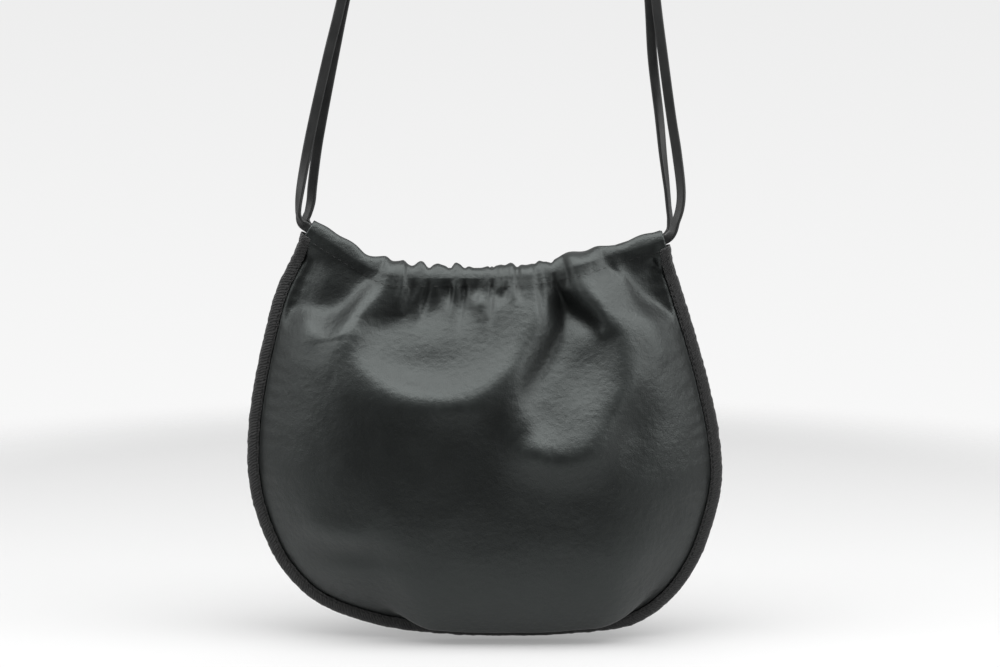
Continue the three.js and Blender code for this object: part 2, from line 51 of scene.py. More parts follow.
camera = bpy.data.objects.new("camera", bpy.data.cameras.new("camera"))
bpy.context.collection.objects.link(camera)
camera.data.lens = LENS
camera.data.sensor_width = SENSOR
distance = PICTURE_WIDTH * PIXEL * LENS / SENSOR
aim_x = BAG_MIDDLE + (PICTURE_WIDTH / 2 - MIDDLE_PIXEL) * PIXEL
aim_z = BAG_FOOT + (FOOT_PIXEL - PICTURE_HEIGHT / 2) * PIXEL
camera.location = (aim_x, -distance * math.cos(CAMERA_TILT), aim_z + distance * math.sin(CAMERA_TILT))
camera.rotation_euler = (math.pi / 2 - CAMERA_TILT, 0, 0)
bpy.context.scene.camera = camera
bpy.context.scene.view_settings.view_transform = "Standard"


class Wire:
    """A socket of a node tree: sums of wires add Math nodes, and node() adds any other node."""

    def __init__(self, tree, socket=None):
        self.tree = tree
        self.socket = socket

    def node(self, kind, settings=None, inputs=None, output=0):
        made = self.tree.nodes.new(kind)
        for name, value in (settings or {}).items():
            setattr(made, name, value)
        for name, value in (inputs or {}).items():
            if isinstance(value, Wire):
                self.tree.links.new(value.socket, made.inputs[name])
            else:
                made.inputs[name].default_value = value
        return Wire(self.tree, made.outputs[output] if made.outputs else None)

    def math(self, operation, first, second=0.0):
        return self.node("ShaderNodeMath", {"operation": operation}, {0: first, 1: second})

    def __add__(self, other):
        return self.math("ADD", self, other)

    def __radd__(self, other):
        return self.math("ADD", other, self)

    def __sub__(self, other):
        return self.math("SUBTRACT", self, other)

    def __rsub__(self, other):
        return self.math("SUBTRACT", other, self)

    def __mul__(self, other):
        return self.math("MULTIPLY", self, other)

    def __rmul__(self, other):
        return self.math("MULTIPLY", other, self)


ROOM_GREY = 0.02  # of every wall, to which the sides, the back, the ceiling and the ground add
ROOM_SIDES, ROOM_BACK, ROOM_CEILING, ROOM_GROUND = 0.42, 0.5, 0.5, 0.08
BACKDROP_GREY, BACKDROP_FALL = 0.87, 0.5  # level with the camera, and how much darker straight up

world = bpy.data.worlds.new("studio")
world.use_nodes = True
world.node_tree.nodes.clear()
bpy.context.scene.world = world
sky = Wire(world.node_tree)
toward = sky.node("ShaderNodeTexCoord", None, None, "Generated")
aside, behind, upward = (sky.node("ShaderNodeSeparateXYZ", None, {0: toward}, axis) for axis in range(3))
back, ceiling, ground = (sky.math("MAXIMUM", way, 0.0) for way in (behind, upward, -1 * upward))
walls = ROOM_GREY + ROOM_SIDES * aside * aside + ROOM_BACK * back
room_light = walls + ROOM_CEILING * ceiling + ROOM_GROUND * ground
room = sky.node("ShaderNodeBackground", None, {"Color": room_light, "Strength": 1.0})
backdrop = BACKDROP_GREY - BACKDROP_FALL * upward
paper = sky.node("ShaderNodeBackground", None, {"Color": backdrop, "Strength": 1.0})
seen = sky.node("ShaderNodeLightPath", None, None, "Is Camera Ray")
either = sky.node("ShaderNodeMixShader", None, {0: seen, 1: room, 2: paper})
sky.node("ShaderNodeOutputWorld", None, {"Surface": either})

SOFTBOXES = [
    # name, place over the bag's foot, width and height, watts, aim height over the foot
    ("overhead", (0.0, -0.4, 1.2), (2.3, 0.8), 28.5, 0.1),
    ("left side", (-1.1, -0.3, 0.6), (0.6, 0.9), 3.4, 0.12),
    ("right side", (1.1, -0.3, 0.6), (0.6, 0.9), 5.6, 0.12),
]
for name, place, (width, height), watts, aim in SOFTBOXES:
    light = bpy.data.objects.new(name, bpy.data.lights.new(name, "AREA"))
    bpy.context.collection.objects.link(light)
    light.data.shape = "RECTANGLE"
    light.data.size = width
    light.data.size_y = height
    light.data.energy = watts
    light.location = Vector(place) + Vector((BAG_MIDDLE, 0, BAG_FOOT))
    towards = Vector((BAG_MIDDLE, 0, BAG_FOOT + aim)) - light.location
    light.rotation_euler = towards.to_track_quat("-Z", "Y").to_euler()
    light.visible_camera = False

FLOOR_RADIUS = 3.0
FLOOR_BACK = 0.35  # how far its middle lies behind the bag
FLOOR_DROP = 5.5 * MM  # how far under the bag's foot it lies, just under the lowest point of the tape
FLOOR_FADE = (0.42, 0.7)  # distances from its middle over which it fades into the backdrop
FLOOR_GREY, FLOOR_GLOW = (0.4, 0.4, 0.4, 1), (0.27, 0.27, 0.27, 1)


def new_finish(name):
    """A new material, a wire on its empty tree, and a wire with the places of the piece's own points."""
    material = bpy.data.materials.new(name)
    material.use_nodes = True
    material.node_tree.nodes.clear()
    wire = Wire(material.node_tree)
    return material, wire, wire.node("ShaderNodeTexCoord", None, None, "Object")


def stretch(wire, value, low, high, kind="LINEAR"):
    """A value that goes from 0 to 1 between two limits."""
    limits = {"Value": value, "From Min": low, "From Max": high}
    return wire.node("ShaderNodeMapRange", {"interpolation_type": kind}, limits)


def cover(wire, shader, inputs):
    """Ends a material's tree in a shader."""
    wire.node("ShaderNodeOutputMaterial", None, {"Surface": wire.node(shader, None, inputs)})


bpy.ops.object.select_all(action="DESELECT")
bpy.ops.mesh.primitive_circle_add(vertices=96, radius=FLOOR_RADIUS, fill_type="NGON")
floor = bpy.context.object
floor.name = "floor"
floor.location = (BAG_MIDDLE, FLOOR_BACK, BAG_FOOT - FLOOR_DROP)
floor_paper, wire, place = new_finish("floor paper")
far = wire.node("ShaderNodeVectorMath", {"operation": "LENGTH"}, {0: place}, "Value")
fade = stretch(wire, far, *FLOOR_FADE, "SMOOTHSTEP")
matt = wire.node("ShaderNodeBsdfDiffuse", None, {"Color": FLOOR_GREY})
glow = wire.node("ShaderNodeEmission", None, {"Color": FLOOR_GLOW, "Strength": 1.0})
lit = wire.node("ShaderNodeAddShader", None, {0: matt, 1: glow})
clear = wire.node("ShaderNodeBsdfTransparent")
cover(wire, "ShaderNodeMixShader", {0: fade, 1: lit, 2: clear})
floor.data.materials.append(floor_paper)


# Panels: the two soft leather walls, each cut as one sheet, swollen by what is in the bag and gathered at
# the mouth, where the edge is turned inwards and sewn down as a tunnel for its lace. Sizes in millimetres
# from the bag's middle and foot.
LEATHER = 1.2  # thickness of the sheet
SEAM_HALF_GAP = 0.2  # from the seam's plane to the inner face of each panel
CLEARANCE = 0.3  # between neighbouring pieces
PANEL_EDGE = 2.2  # how far inside the seam's outline the panels are cut
FLAT_EDGE = 7.0  # how far in from the outline they lie flat, under the tape
BODY_EDGE = 12.0  # how far in their folds have their full height
TUNNEL_HALF_HEIGHT = 5.0
TUNNEL_HALF_DEPTH = (3.7, 3.0)  # in the middle of the mouth and at its corners
TUNNEL_FULLNESS = (0.85, 1.3)  # 1 for a round tunnel, less for a square one, more for a bevelled one
TUNNEL_SLACK = 0.8  # how far the tunnel's top can dip before it meets the lace
TUNNEL_RISE = 6.0  # from the stitch line up to the tunnel's middle
MOUTH_DEPTH = (12.0, 3.3)  # from the seam's plane to the tunnel's middle, in the middle and at the corners
STITCH_FRONT = (3.4, 2.9)  # how far the stitch line stands before that
MOUTH_LEAN = (0.5, 0.0)  # how far the tunnel leans back over each millimetre of height
MOUTH_PARTING = 14.0  # height over which the panels part at the corners
MOUTH_CLIMBS = [(-1, 57, 5), (1, 30, 8)]  # hand, where the stitch line starts to climb, and how softly
EDGE_ROUND = 80.0  # how far past the flat edge they have their full depth
EDGE_FULLNESS = 2.5  # more for a blunter edge
SHOULDER_SOFT = 0.05  # how softly the shoulder under the mouth meets the wall, as a share of its height
OUTLINE = [
    # x and z of the seam's outline, from the left corner of the mouth round to the right one
    (-101.2, 219.5),
    (-104.1, 211.3),
    (-114.7, 189.3),
    (-121.6, 163.9),
    (-127.4, 137.3),
    (-131, 110.6),
    (-131, 85),
    (-126.5, 63.5),
    (-114.6, 36.5),
    (-95.3, 16.1),
    (-61.4, 2.5),
    (-22.4, -3),
    (15, -4),
    (45, -3),
    (82.9, 2.5),
    (102.9, 16.1),
    (117.7, 36.5),
    (127.5, 63.5),
    (131.2, 85),
    (129.2, 110.6),
    (123.5, 137.3),
    (116.1, 163.9),
    (108.2, 189.3),
    (103.4, 204),
    (101.8, 212.4),
]


def smoothstep(value, low, high):
    share = np.clip((value - low) / (high - low), 0, 1)
    return share * share * (3 - 2 * share)


def blend(start, end, share):
    return start + (end - start) * share


def smooth_line(points, per_span, looped=False):
    """Dense points of the centripetal Catmull-Rom curve through some points."""
    points = np.asarray(points, float)
    if looped:
        ring = np.vstack([points[-1:], points, points[:2]])
    else:
        ring = np.vstack([2 * points[0] - points[1], points, 2 * points[-1] - points[-2]])
    share = np.linspace(0, 1, per_span, endpoint=False)[:, None]
    spans = []
    for before, start, end, after in zip(ring, ring[1:], ring[2:], ring[3:]):
        gaps = [np.linalg.norm(b - a) ** 0.5 for a, b in ((before, start), (start, end), (end, after))]
        first = (start - before) / gaps[0] - (end - before) / (gaps[0] + gaps[1]) + (end - start) / gaps[1]
        second = (end - start) / gaps[1] - (after - start) / (gaps[1] + gaps[2]) + (after - end) / gaps[2]
        first, second = first * gaps[1], second * gaps[1]
        square = 3 * (end - start) - 2 * first - second
        cube = 2 * (start - end) + first + second
        spans.append(start + first * share + square * share**2 + cube * share**3)
    return np.vstack(spans if looped else spans + [points[-1:]])


def unit(vectors):
    return vectors / np.linalg.norm(vectors, axis=-1, keepdims=True)


def lengths_along(line):
    return np.concatenate([[0], np.cumsum(np.linalg.norm(np.diff(line, axis=0), axis=1))])


SEAM_POINTS = 80  # for each span of the outline
seam_line = smooth_line(OUTLINE, SEAM_POINTS)
seam_along = lengths_along(seam_line)
seam_length = seam_along[-1]
seam_turn = unit(np.gradient(seam_line, seam_along, axis=0))
seam_tree = kdtree.KDTree(len(seam_line))
for index, (x, z) in enumerate(seam_line):
    seam_tree.insert((x, 0, z), index)
seam_tree.balance()


def seam_point(along, inset):
    """Points of the seam's plane, inset from the outline at lengths along it from the left corner."""
    on_seam = np.clip(along, 0, seam_length)
    x, z = (np.interp(on_seam, seam_along, column) for column in seam_line.T)
    turn_x, turn_z = (np.interp(on_seam, seam_along, column) for column in seam_turn.T)
    beyond = along - on_seam
    return np.stack([x + turn_x * beyond - turn_z * inset, z + turn_z * beyond + turn_x * inset], -1)


def inset_of(x, z):
    """How far points lie inside the outline, and the length of seam up to the nearest point of it."""
    found = [seam_tree.find((a, 0, b)) for a, b in zip(x.flat, z.flat)]
    inset = np.array([near[2] for near in found]).reshape(x.shape)
    along = seam_along[[near[1] for near in found]].reshape(x.shape)
    return inset, along


def waves(x, z, reach, seed):
    """Smooth noise from -1 to 1 whose bumps are about reach across."""
    points = zip(x.flat, np.broadcast_to(z, x.shape).flat)
    return np.array([noise.noise((a / reach, b / reach, seed)) for a, b in points]).reshape(x.shape)


mouth_left, mouth_right = seam_point(np.array([0, seam_length]), PANEL_EDGE)[:, 0]


def stitch_height(side, x):
    """The line that a panel's tunnel is sewn along: level in the middle, climbing to both corners."""
    height = side["mouth_low"]
    for (hand, start, soft), slope in zip(MOUTH_CLIMBS, side["climb"]):
        height = height + slope * soft * np.log1p(np.exp((hand * x - start) / soft))
    return height


def to_corner(pair, x):
    """A value that changes from the middle of the mouth to its corners."""
    return pair[0] + (pair[1] - pair[0]) * (x / np.where(x < 0, mouth_left, mouth_right)) ** 2


def over_stitches(side, x, rise):
    """Points square to the stitch line, at a height over it."""
    slope = stitch_height(side, x + 0.5) - stitch_height(side, x - 0.5)
    square = rise / np.hypot(1, slope)
    return x - slope * square, stitch_height(side, x) + square


FOLD_POINTS = 14  # for each span of a fold's line
FOLD_ROUND = 1.5  # rounds the distance from the line, so that no crease lies between the line's arms
FOLD_FAR = 50  # how many reaches off the line a point counts at most


def fold_lift(fold, x, z):
    """A fold pushes the leather out or in along its line, evenly over its half width and then falling off
    by its reach on the line's left and right hand, as seen along it."""
    line, share, half_width, left_reach, right_reach = fold
    path = smooth_line(line, FOLD_POINTS)
    run = np.gradient(path[:, :2], axis=0)
    near = np.full(x.shape, np.inf)
    hand, weights, height = (np.zeros_like(x) for _ in range(3))
    for (path_x, path_z, lift), (run_x, run_z) in zip(path, run):
        off_x, off_z = x - path_x, z - path_z
        far = off_x**2 + off_z**2
        hand = np.where(far < near, np.sign(run_x * off_z - run_z * off_x), hand)
        near = np.minimum(far, near)
        weight = math.hypot(run_x, run_z) / (far + FOLD_ROUND**2) ** 2
        weights += weight
        height += weight * lift
    height /= weights
    far = np.sqrt(np.maximum(np.cbrt(math.pi / 2 / weights) ** 2 - FOLD_ROUND**2, 0))
    peak = math.log(left_reach / right_reach) * left_reach * right_reach / (left_reach + right_reach)
    aside = hand * np.maximum(far - half_width, 0) + peak  # so that the line is the fold's crest
    top = math.exp(peak / left_reach) + math.exp(-peak / right_reach)
    rise = np.clip(aside / left_reach, -FOLD_FAR, FOLD_FAR)
    fall = np.clip(-aside / right_reach, -FOLD_FAR, FOLD_FAR)
    return share * height * top / (np.exp(rise) + np.exp(fall))


def dent_lift(dent, x, z):
    """A dent is a round hollow in the leather."""
    low_x, low_z, across, upward, depth = dent
    return -depth * np.exp(-(((x - low_x) / across) ** 2) - ((z - low_z) / upward) ** 2)


CREASE_FADE = (0.1, 1)  # shares of a fine crease's length between which it fades


def gather_lift(side, x, under):
    """The fine creases that the lace draws into the mouth: full at the stitch line, fading below it."""
    total = np.zeros_like(x)
    for at, lean, width, lift, length in side["creases"]:
        across = (x - at - lean * under) / width
        total += lift * np.exp(-(across**2)) * (1 - smoothstep(under / length, *CREASE_FADE))
    return total


PARTING_EDGE = BODY_EDGE + 12  # how far in the panels are parted in full at the mouth's corners
GATHER_EDGE = BODY_EDGE + 10  # how far in the fine creases have their full height
BUCKLES = [(0.9, 38, 0), (0.35, 14, 5)]  # height, reach and seed of the leather's unevenness
PUCKER_HEIGHT, PUCKER_LENGTH = 0.18, 1.35  # of the ripples that the tape's sewing pulls
PUCKER_DRIFT = (2.2, 30, 9)  # how far their spacing drifts, with its reach and seed
PUCKER_PLACE, PUCKER_SPREAD = 11, 5  # how far in they are highest, and how wide they are spread
PUCKER_EDGE = 10  # how far in they stop being held flat
ROLL_HEIGHT = 0.9  # of the leather's swell out from under the tape
ROLL_EDGES = (FLAT_EDGE - 0.2, FLAT_EDGE + 1.2)  # how far in it starts and is full
ROLL_UNDER = 15  # how far under the stitch line it is full
LEAST_SHARE = 0.2  # of the swell, which even the deepest fold leaves
LEAST_SOFT = (0.02, 1.5)  # how softly folds get there: at the flat edge, and how much more further in
LEAST_EDGE = BODY_EDGE + 8  # how far in that is reached
BELLY_ENDS = (34, 45)  # lengths over which the belly starts on the left and ends on the right
BELLY_TOP = (50, 100)  # heights between which it ends upwards
BELLY_START = FLAT_EDGE + 1  # how far in it starts to hang
BELLY_EDGE = (17, 80)  # how far in it hangs lowest, and how far in it ends
BULGE_EDGE = 13  # how far in it is pushed out in full


def panel_shape(side, x, z):
    """A panel's outer face: how far it stands out from the seam's plane, and how far it sinks."""
    inset, along = inset_of(x, z)
    flat = SEAM_HALF_GAP + LEATHER
    swell = 1 - (1 - np.clip((inset - FLAT_EDGE) / EDGE_ROUND, 0, 1)) ** EDGE_FULLNESS
    under = np.maximum(stitch_height(side, x) - z, 0)
    low, longer, middle, half_width = side["shoulder"]
    shoulder = low + longer * np.exp(-(((x - middle) / half_width) ** 4))
    spread = 1 - SHOULDER_SOFT * np.logaddexp(0, (1 - under / shoulder) / SHOULDER_SOFT)
    apart = 1 - (1 - smoothstep(inset, FLAT_EDGE, PARTING_EDGE)) * smoothstep(under, 0, MOUTH_PARTING)
    mouth = (to_corner(MOUTH_DEPTH, x) + to_corner(STITCH_FRONT, x) - flat) * apart
    form = mouth + (side["depth"] * swell - mouth) * spread
    relief = sum(fold_lift(row, x, z) for row in side["folds"])
    relief = relief + sum(dent_lift(row, x, z) for row in side["dents"])
    for height, reach, seed in BUCKLES:
        relief = relief + height * waves(x, z, reach, side["facing"] + seed)
    relief = relief * smoothstep(inset, FLAT_EDGE, BODY_EDGE)
    relief = relief + gather_lift(side, x, under) * smoothstep(inset, FLAT_EDGE, GATHER_EDGE)
    drift, reach, seed = PUCKER_DRIFT
    ripple = np.sin(along / PUCKER_LENGTH + drift * waves(along, 0, reach, seed))
    pucker = ripple * np.exp(-(((inset - PUCKER_PLACE) / PUCKER_SPREAD) ** 2))
    roll = ROLL_HEIGHT * smoothstep(inset, *ROLL_EDGES) * smoothstep(under, 0, ROLL_UNDER)
    least = LEAST_SHARE * form
    soft = LEAST_SOFT[0] + LEAST_SOFT[1] * smoothstep(inset, FLAT_EDGE, LEAST_EDGE)
    lifted = least + soft * np.logaddexp(0, (form + relief - least) / soft)
    depth = flat + lifted + roll + PUCKER_HEIGHT * pucker * smoothstep(inset, FLAT_EDGE, PUCKER_EDGE)
    left, right, sink, push = side["belly"]
    belly = smoothstep(x, left, left + BELLY_ENDS[0]) * (1 - smoothstep(x, right - BELLY_ENDS[1], right))
    belly = belly * (1 - smoothstep(z, *BELLY_TOP))
    inwards = 1 - smoothstep(inset, *BELLY_EDGE)
    hang = smoothstep(inset, BELLY_START, BELLY_EDGE[0]) * inwards
    bulge = smoothstep(inset, FLAT_EDGE, BULGE_EDGE) * inwards
    return depth + push * belly * bulge, sink * belly * hang


LEFT_SHARE, RIGHT_SHARE = 0.345, 0.655  # where the sides of the seam turn into its bottom
CELLS_ACROSS, CELLS_UP, CELLS_TUNNEL, CELLS_HEM = 224, 150, 30, 4
TUNNEL_START, TUNNEL_END = math.radians(-15), math.radians(240)  # round its middle, from straight outwards
PUFF_TOP = 0.7  # share of the tunnel's height over which its gathers puff it up
PLEAT_LIMITS = (-0.9, 7)  # how far in and out the folds below draw the tunnel along
PLEAT_CORNERS = (8, 24)  # distances from the mouth's corners between which that starts
PLEAT_ROUND = (-0.2, 0.5)  # shares of the tunnel's half depth, outwards, between which it starts
HEM_UNDER = 0.8  # how far under the stitch line the turned edge ends
CREST_SPREAD, CREST_LIMIT = 40, 1.5  # rounds of averaging that tell a crest, and its most height


def grid_piece(name, columns, rows):
    """A flat grid of cells, ready to be moved into shape: its object, and its points' columns and rows."""
    bpy.ops.object.select_all(action="DESELECT")
    bpy.ops.mesh.primitive_grid_add(x_subdivisions=columns, y_subdivisions=rows, size=2)
    made = bpy.context.object
    made.name = name
    made.data.name = name
    row, column = np.meshgrid(np.arange(rows + 1), np.arange(columns + 1), indexing="ij")
    return made, column, row


def move_points(piece, x, y, z):
    """Puts a piece's points at places of the bag, in millimetres from its middle and foot."""
    points = np.stack([x.ravel() * MM + BAG_MIDDLE, y.ravel() * MM, z.ravel() * MM + BAG_FOOT], -1)
    piece.data.vertices.foreach_set("co", points.ravel())
    piece.data.update()


def apply_modifier(piece, kind, **settings):
    modifier = piece.modifiers.new(kind.lower(), kind)
    for name, value in settings.items():
        setattr(modifier, name, value)
    bpy.context.view_layer.objects.active = piece
    bpy.ops.object.modifier_apply(modifier=modifier.name)


def panel_plan(side, column, row):
    """Where the cells of a panel's body lie in the seam's plane."""
    across = column / CELLS_ACROSS
    upward = np.clip(row / CELLS_UP, 0, 1)
    left_turn, right_turn = LEFT_SHARE * seam_length, RIGHT_SHARE * seam_length
    left = seam_point(left_turn * (1 - upward), PANEL_EDGE)
    right = seam_point(blend(right_turn, seam_length, upward), PANEL_EDGE)
    bottom = seam_point(blend(left_turn, right_turn, across), PANEL_EDGE)
    low_left, low_right = seam_point(np.array([left_turn, right_turn]), PANEL_EDGE)
    mouth_x = blend(mouth_left, mouth_right, across)
    top = np.stack([mouth_x, stitch_height(side, mouth_x)], -1)
    high_left, high_right = top[0, 0], top[0, -1]
    across, upward = across[..., None], upward[..., None]
    sides = blend(left, right, across) + blend(bottom, top, upward)
    return sides - blend(blend(low_left, low_right, across), blend(high_left, high_right, across), upward)


def soften(field, times):
    """A field of the grid averaged with its neighbours over and over."""
    for _ in range(times):
        wide = np.pad(field, 1, mode="edge")
        field = (wide[1:-1, :-2] + wide[1:-1, 2:] + wide[:-2, 1:-1] + wide[2:, 1:-1]) / 4
    return field


def fuller(wave, power):
    """A sine or cosine, changed so that the round it draws is squarer, for a power under 1, or bevelled."""
    return np.sign(wave) * np.abs(wave) ** power


def make_panel(name, side):
    """A panel, and the line on its outer face that its tunnel is sewn along."""
    panel, column, row = grid_piece(name, CELLS_ACROSS, CELLS_UP + CELLS_TUNNEL + CELLS_HEM)
    plan = panel_plan(side, column, row)
    x, z = plan[..., 0], plan[..., 1]
    depth, sink = panel_shape(side, x, z)
    z = z - sink

    turn = blend(TUNNEL_START, TUNNEL_END, (row - CELLS_UP - 1) / (CELLS_TUNNEL - 1))
    fullness = to_corner(TUNNEL_FULLNESS, x)
    upright, outward = fuller(np.sin(turn), fullness), fuller(np.cos(turn), fullness)
    puff = sum(height * np.exp(-(((x - at) / width) ** 2)) for at, width, height in side["gathers"])
    crease = gather_lift(side, x, np.zeros_like(x))
    pleat = depth[CELLS_UP] - to_corner(MOUTH_DEPTH, x[CELLS_UP]) - to_corner(STITCH_FRONT, x[CELLS_UP])
    from_corner = np.minimum(x[CELLS_UP] - mouth_left, mouth_right - x[CELLS_UP])
    pleat = (np.clip(pleat, *PLEAT_LIMITS) * smoothstep(from_corner, *PLEAT_CORNERS))[None, :]
    high = TUNNEL_HALF_HEIGHT + np.maximum(puff + crease, -TUNNEL_SLACK) * smoothstep(upright, 0, PUFF_TOP)
    deep = to_corner(TUNNEL_HALF_DEPTH, x) + pleat * smoothstep(outward, *PLEAT_ROUND)
    on_tunnel = (row > CELLS_UP) & (row <= CELLS_UP + CELLS_TUNNEL)
    on_hem = row > CELLS_UP + CELLS_TUNNEL
    hem_share = (row - CELLS_UP - CELLS_TUNNEL) / CELLS_HEM
    rise = np.where(on_tunnel, TUNNEL_RISE + high * upright, 0)
    hem_rise = blend(TUNNEL_RISE + high * math.sin(TUNNEL_END), -HEM_UNDER, hem_share)
    rise = np.where(on_hem, hem_rise, rise)
    over_x, over_z = over_stitches(side, x, rise)
    leaning = to_corner(MOUTH_DEPTH, x) - to_corner(MOUTH_LEAN, x) * rise
    stitch_depth = depth[CELLS_UP][None, :] - 2 * LEATHER - CLEARANCE
    depth = np.where(on_tunnel, leaning + deep * outward, depth)
    hem_depth = blend(depth[CELLS_UP + CELLS_TUNNEL][None, :], stitch_depth, smoothstep(hem_share, 0, 1))
    depth = np.where(on_hem, hem_depth, depth)
    x = np.where(on_tunnel | on_hem, over_x, x)
    z = np.where(on_tunnel | on_hem, over_z, z)
    move_points(panel, x, side["facing"] * depth, z)
    # How far the face stands proud of its softened self: the crests, which the leather's colour paints
    # lighter as rubbed wear and as a painted highlight.
    proud = np.clip(depth - soften(depth, CREST_SPREAD), -CREST_LIMIT, CREST_LIMIT)
    crest = panel.data.attributes.new("crest", "FLOAT", "POINT")
    crest.data.foreach_set("value", proud.astype(np.float32).ravel())

    if side["facing"] > 0:
        bpy.ops.object.mode_set(mode="EDIT")
        bpy.ops.mesh.select_all(action="SELECT")
        bpy.ops.mesh.flip_normals()
        bpy.ops.object.mode_set(mode="OBJECT")
    panel.data.materials.append(panel_leather)
    panel.data.materials.append(flesh_side)
    apply_modifier(panel, "SOLIDIFY", thickness=LEATHER * MM, offset=-1, material_offset=1)
    bpy.ops.object.shade_smooth()
    return panel, np.stack([x[CELLS_UP], side["facing"] * depth[CELLS_UP], z[CELLS_UP]], -1)


CREASE_SHIFT = 1.2  # how far a fine crease may lie off its even place
CREASE_FAN = 0.3  # how far the last ones lean outwards for each millimetre down
CREASE_LEAN = 0.12  # how much more or less each one may lean
CREASE_WIDTHS, CREASE_LIFTS, CREASE_LENGTHS = (1.3, 3), (-2.1, 1.5), (10, 30)


def fine_creases(seed, count, low, high):
    """Seeded creases of a gathered mouth: x, lean, width, lift and length under the stitch line."""
    rng = np.random.default_rng(seed)
    places = np.linspace(low, high, count) + rng.uniform(-CREASE_SHIFT, CREASE_SHIFT, count)
    rows = []
    for place in places:
        lean = CREASE_FAN * place / high + rng.uniform(-CREASE_LEAN, CREASE_LEAN)
        drawn = (rng.uniform(*limits) for limits in (CREASE_WIDTHS, CREASE_LIFTS, CREASE_LENGTHS))
        rows.append((place, lean, *drawn))
    return rows


# Lines of the front's folds, as x, z and lift: the rims of the middle swag and of the right lobe, the
# pleats at both ends of the gathers, the hollows and the valley beside them, and the sunken triangles at
# the corners.
MIDDLE_SWAG = [
    (-69.5, 176, 0.5), (-71, 167, 2), (-70.2, 159.5, 4), (-67.9, 152.4, 5.5), (-62.9, 146.8, 6.5),
    (-50.5, 139.8, 7), (-34.4, 134.9, 7), (-18.4, 133.1, 7), (-2.4, 137.8, 7), (13.6, 150.2, 7),
    (21.7, 161.5, 6.5), (29.8, 175.4, 6), (34.7, 187.3, 5), (36.9, 196.2, 3.5), (38.1, 203.6, 2),
]
RIGHT_LOBE = [
    (40.6, 161.8, 0), (32.4, 149, 0.5), (25, 136.2, 1), (20, 124, 2), (19, 115, 3.5), (22, 109, 6),
    (28, 105.5, 8), (37.6, 103.5, 8), (46.5, 103.5, 8), (54, 107.5, 8), (60, 116, 7.5), (65, 129, 6),
    (69, 142, 5), (72, 152, 4.5), (72.5, 161, 3.5), (70, 168, 1.5),
]
LEFT_TRIANGLE = [
    (-113, 185, -2), (-104, 183, -4.5), (-93, 181.5, -6), (-82, 181, -7), (-72, 184.5, -7.5),
    (-64, 192, -7), (-58.5, 200, -5), (-54.5, 208, -2),
]
LEFT_PLEAT = [
    (-45, 211, 2.5), (-48, 205, 4), (-53, 197.5, 5.5), (-58.5, 191, 6.5), (-63, 186, 7.5), (-69, 178, 7),
    (-75, 168, 5), (-80, 156, 2), (-83, 144, 0),
]
LEFT_HOLLOW = [
    (-33.5, 202.3, -1.5), (-33, 190, -4), (-35.2, 178.5, -7), (-43.4, 174.5, -7.5), (-51.6, 171.5, -7),
    (-61.3, 169, -5), (-68.8, 167.5, -2),
]
RIGHT_VALLEY = [
    (37.5, 202, -1.5), (39, 191.5, -4), (42, 180.4, -7), (42.3, 169.6, -7), (39, 160, -6), (34, 150.5, -5),
    (27.6, 140.7, -4), (21, 131, -2.5), (18, 123, -1), (16, 116, 0),
]
RIGHT_PLEAT = [
    (46, 208, 2), (50, 199, 4.5), (55, 190.5, 7), (60.5, 183, 8), (65, 177, 7.2), (69.5, 172, 5.4),
    (74, 167, 3.6), (79, 160, 1.8), (84, 151, 0.6), (88, 141, 0),
]
RIGHT_PLEAT_EDGE = [
    (66, 211, 1), (70, 203, 2.5), (74, 196, 3.5), (78, 189, 3.5), (83, 181, 2.5), (88, 171, 0),
]
RIGHT_TRIANGLE = [
    (70, 213, -2), (74, 205, -4.5), (78.5, 196.5, -6.5), (83, 189.5, -7.5), (90, 186.5, -7.5),
    (98, 186.5, -6), (107, 188, -2),
]
RIGHT_HOLLOW = [
    (38, 200, -1.5), (39, 190.5, -4), (42.7, 183.3, -7), (46.4, 178.9, -8), (53.5, 173.5, -7.5),
    (59, 170, -4), (63.5, 168, 0),
]

